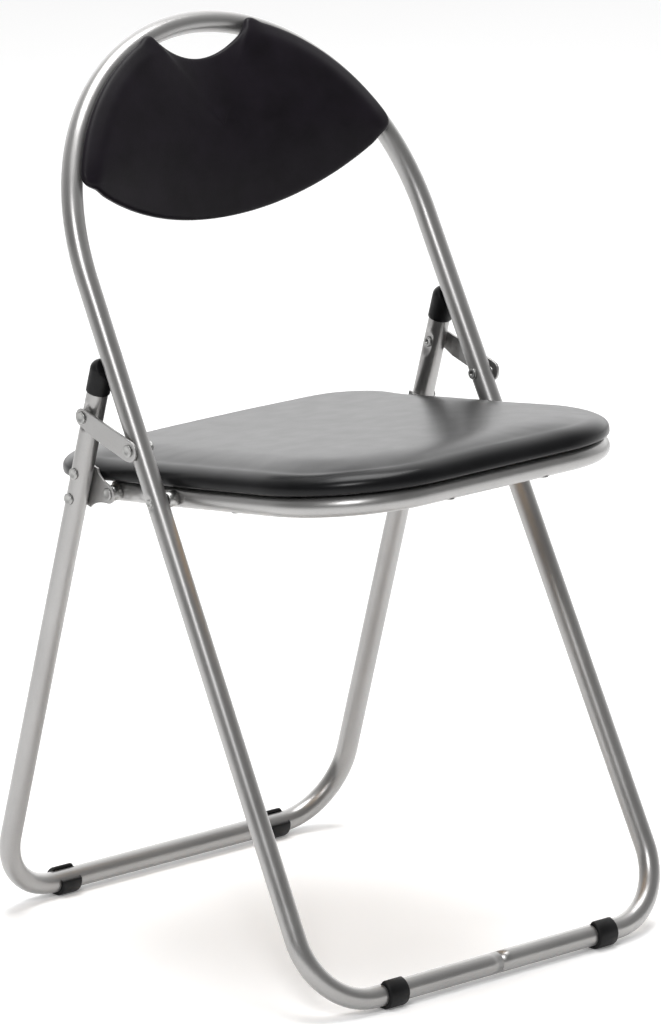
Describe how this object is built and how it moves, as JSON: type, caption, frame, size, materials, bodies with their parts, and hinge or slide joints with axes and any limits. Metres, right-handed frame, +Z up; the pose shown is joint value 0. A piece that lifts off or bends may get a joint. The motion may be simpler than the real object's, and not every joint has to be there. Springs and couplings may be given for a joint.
{
  "type": "folding chair",
  "caption": "Folding chair: tubular steel hoop front frame, U-shaped rear legs, padded seat and dished padded back, with side links so that it folds flat.",
  "frame": {"origin": "on the floor, in the middle of the footprint", "axes": "+Z up, the chair faces -Y, +X is the right side seen from the front"},
  "size_m": [0.4326, 0.459, 0.79],
  "materials": {
    "silver_steel": "satin silver paint",
    "zinc_fasteners": "satin zinc plate",
    "black_vinyl": "semi-gloss fine-grained vinyl",
    "black_plastic": "matt",
    "plywood": "raw"
  },
  "bodies": {
    "front_frame": {"front_frame_tube": "silver_steel", "front_crossbar_sleeve": "zinc_fasteners", "back_board": "plywood", "back_cushion": "black_vinyl", "back_screw_1": "zinc_fasteners", "back_screw_2": "zinc_fasteners", "back_screw_3": "zinc_fasteners", "back_screw_4": "zinc_fasteners", "front_foot_pad_left": "black_plastic", "front_foot_pad_right": "black_plastic", "seat_pivot_rivet_left": "zinc_fasteners", "seat_pivot_rivet_right": "zinc_fasteners", "seat_pivot_bush_left": "black_plastic", "seat_pivot_bush_right": "black_plastic", "link_rivet_left": "zinc_fasteners", "link_rivet_right": "zinc_fasteners"},
    "seat": {"seat_frame_tube": "silver_steel", "seat_board": "plywood", "seat_cushion": "black_vinyl", "seat_screw_1": "zinc_fasteners", "seat_screw_2": "zinc_fasteners", "seat_screw_3": "zinc_fasteners", "seat_screw_4": "zinc_fasteners", "seat_screw_5": "zinc_fasteners", "seat_screw_6": "zinc_fasteners", "leg_pivot_rivet_left": "zinc_fasteners", "leg_pivot_rivet_right": "zinc_fasteners", "leg_pivot_bush_left": "black_plastic", "leg_pivot_bush_right": "black_plastic"},
    "rear_legs": {"rear_leg_tube": "silver_steel", "leg_cap_left": "black_plastic", "leg_cap_right": "black_plastic", "leg_bracket_left": "silver_steel", "leg_bracket_right": "silver_steel", "bracket_rivet_upper_left": "zinc_fasteners", "bracket_rivet_upper_right": "zinc_fasteners", "bracket_rivet_lower_left": "zinc_fasteners", "bracket_rivet_lower_right": "zinc_fasteners", "rear_foot_pad_left": "black_plastic", "rear_foot_pad_right": "black_plastic", "link_pin_inner_left": "zinc_fasteners", "link_pin_inner_right": "zinc_fasteners"},
    "left_link": {"link_left": "silver_steel", "link_pin_outer_left": "zinc_fasteners"},
    "right_link": {"link_right": "silver_steel", "link_pin_outer_right": "zinc_fasteners"}
  },
  "joints": [
    {"name": "seat_fold", "type": "hinge", "parent": "front_frame", "child": "seat", "pos_m": [0, -0.00161, 0.41922], "axis": [-1, 0, 0], "range_deg": [0, 113.66]},
    {"name": "leg_fold", "type": "hinge", "parent": "seat", "child": "rear_legs", "pos_m": [0, 0.0763, 0.40882], "axis": [-1, 0, 0], "range_deg": [-70, 0]},
    {"name": "left_link_turn", "type": "hinge", "parent": "front_frame", "child": "left_link", "pos_m": [-0.2126, 0.02119, 0.46237], "axis": [-1, 0, 0], "range_deg": [0, 115]},
    {"name": "right_link_turn", "type": "hinge", "parent": "front_frame", "child": "right_link", "pos_m": [0.2126, 0.02119, 0.46237], "axis": [-1, 0, 0], "range_deg": [0, 115]}
  ],
  "couplings": [
    {"joint": "leg_fold", "follows": "seat_fold", "ratio": -0.61437},
    {"joint": "left_link_turn", "follows": "seat_fold", "ratio": 1.0107},
    {"joint": "right_link_turn", "follows": "seat_fold", "ratio": 1.0107}
  ]
}
